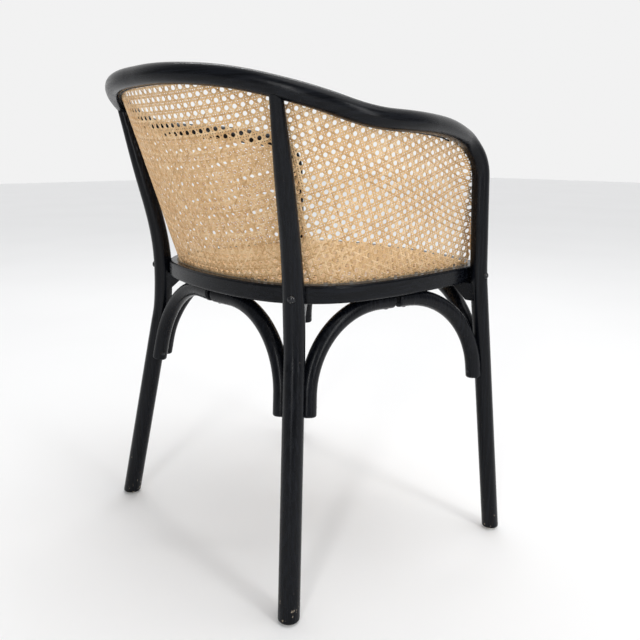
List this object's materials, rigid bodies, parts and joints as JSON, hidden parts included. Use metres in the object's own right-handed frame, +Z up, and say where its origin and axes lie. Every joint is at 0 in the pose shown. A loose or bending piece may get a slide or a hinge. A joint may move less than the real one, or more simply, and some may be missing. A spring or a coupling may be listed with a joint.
{
  "type": "bentwood armchair",
  "caption": "Bentwood armchair with a round seat ring, one bent rod for front legs, arms and crest, quarter-bend brackets, cane seat and wrapped cane back.",
  "frame": {"origin": "centre of the chair's bounding box, on the floor", "axes": "+Z up, the sitter faces -Y, +X is the sitter's left"},
  "size_m": [0.5968, 0.558, 0.743],
  "materials": {
    "ebonised_wood": "satin black lacquer over bent beech, faint grain",
    "cane": "natural woven rattan cane, warm tan, low sheen",
    "reed": "flat reed spline, greyed tan",
    "blackened_steel": "black painted steel with worn bright edges",
    "glide_plastic": "pale matte plastic"
  },
  "bodies": {
    "root": {"hoop_rail": "ebonised_wood", "rear_leg_left": "ebonised_wood", "rear_leg_right": "ebonised_wood", "seat_ring": "ebonised_wood", "bracket_rear_left_back": "ebonised_wood", "bracket_rear_right_back": "ebonised_wood", "bracket_rear_left_side": "ebonised_wood", "bracket_rear_right_side": "ebonised_wood", "bracket_front_left_side": "ebonised_wood", "bracket_front_right_side": "ebonised_wood", "bracket_front_left_front": "ebonised_wood", "bracket_front_right_front": "ebonised_wood", "corner_block_rear_left": "ebonised_wood", "corner_block_rear_right": "ebonised_wood", "corner_block_front_left": "ebonised_wood", "corner_block_front_right": "ebonised_wood", "seat_cane": "cane", "back_cane": "cane", "seat_spline": "reed", "back_spline_ring": "reed", "back_spline_rail": "ebonised_wood", "leg_bolts": "blackened_steel", "leg_washers": "blackened_steel", "leg_nuts": "blackened_steel", "bracket_screws": "blackened_steel", "foot_glides": "glide_plastic"}
  },
  "joints": []
}
